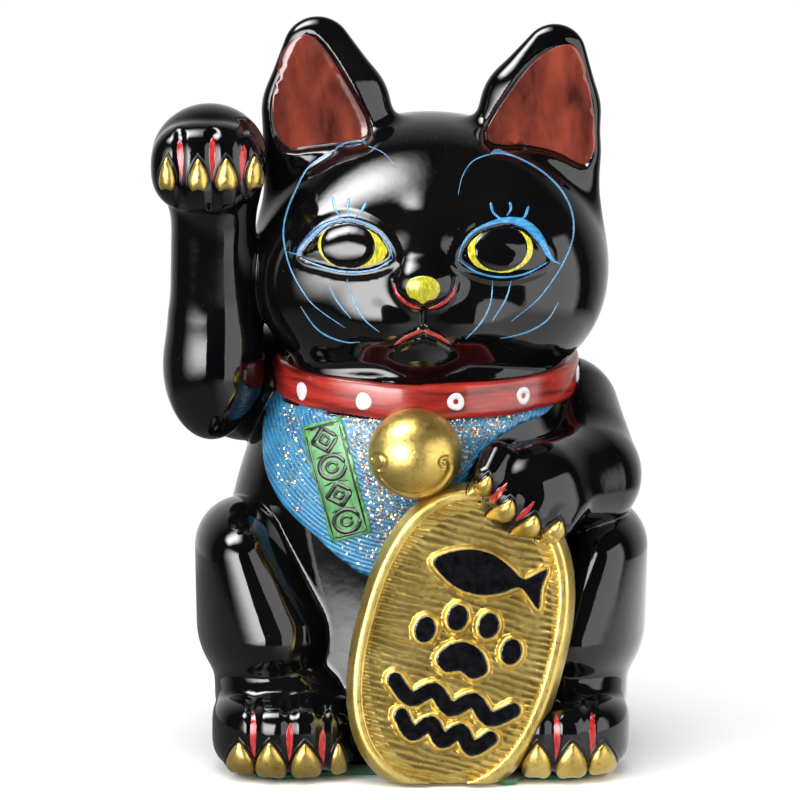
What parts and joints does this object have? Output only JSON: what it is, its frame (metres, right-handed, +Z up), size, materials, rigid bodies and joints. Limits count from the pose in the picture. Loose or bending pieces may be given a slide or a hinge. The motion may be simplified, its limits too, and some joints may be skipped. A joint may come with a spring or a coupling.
{
  "type": "beckoning cat figurine",
  "caption": "Seated glazed stoneware cat with one paw raised and the other on an upright oval coin, with bell, bib and collar, a coin slot in its back and a base stopper.",
  "frame": {"origin": "on the shelf, at the bottom face of the felt pad, under the middle of the body", "axes": "+Z up; the cat faces -Y; its raised right paw is on -X and the coin is on +X"},
  "size_m": [0.1987, 0.1625, 0.2955],
  "materials": {
    "black_glaze": "deep black gloss glaze on stoneware",
    "gold_paint": "satin gold lustre paint with darker recesses",
    "black_enamel": "semi-gloss black enamel",
    "red_enamel": "gloss red enamel, brushed",
    "ear_red_enamel": "thin red enamel over black, streaky",
    "white_enamel": "gloss white enamel",
    "blue_enamel": "raked blue enamel with gold glitter",
    "light_blue_enamel": "fine light blue enamel lines",
    "green_enamel": "satin green enamel",
    "yellow_enamel": "gloss yellow enamel",
    "gold_glitter": "loose bright metal flakes",
    "stopper_rubber": "matte black rubber",
    "green_felt": "pressed wool felt"
  },
  "bodies": {
    "cat": {"torso_shell": "black_glaze", "head_shell": "black_glaze", "raised_arm": "black_glaze", "lowered_arm": "black_glaze", "right_foot": "black_glaze", "left_foot": "black_glaze", "tail": "black_glaze", "oval_coin": "gold_paint", "coin_relief": "black_enamel", "bell": "gold_paint", "collar": "red_enamel", "collar_dots": "white_enamel", "bib": "blue_enamel", "charm_label": "green_enamel", "right_ear_lining": "ear_red_enamel", "left_ear_lining": "ear_red_enamel", "right_eye": "yellow_enamel", "left_eye": "yellow_enamel", "nose_pad": "yellow_enamel", "lips": "red_enamel", "raised_paw_claws": "gold_paint", "lowered_paw_claws": "gold_paint", "right_foot_claws": "gold_paint", "left_foot_claws": "gold_paint", "felt_base_pad": "green_felt"},
    "stopper": {"base_stopper": "stopper_rubber"}
  },
  "joints": [
    {"name": "stopper_pull", "type": "slide", "parent": "cat", "child": "stopper", "axis": [0, 0, -1], "range_m": [0, 0.03]}
  ]
}
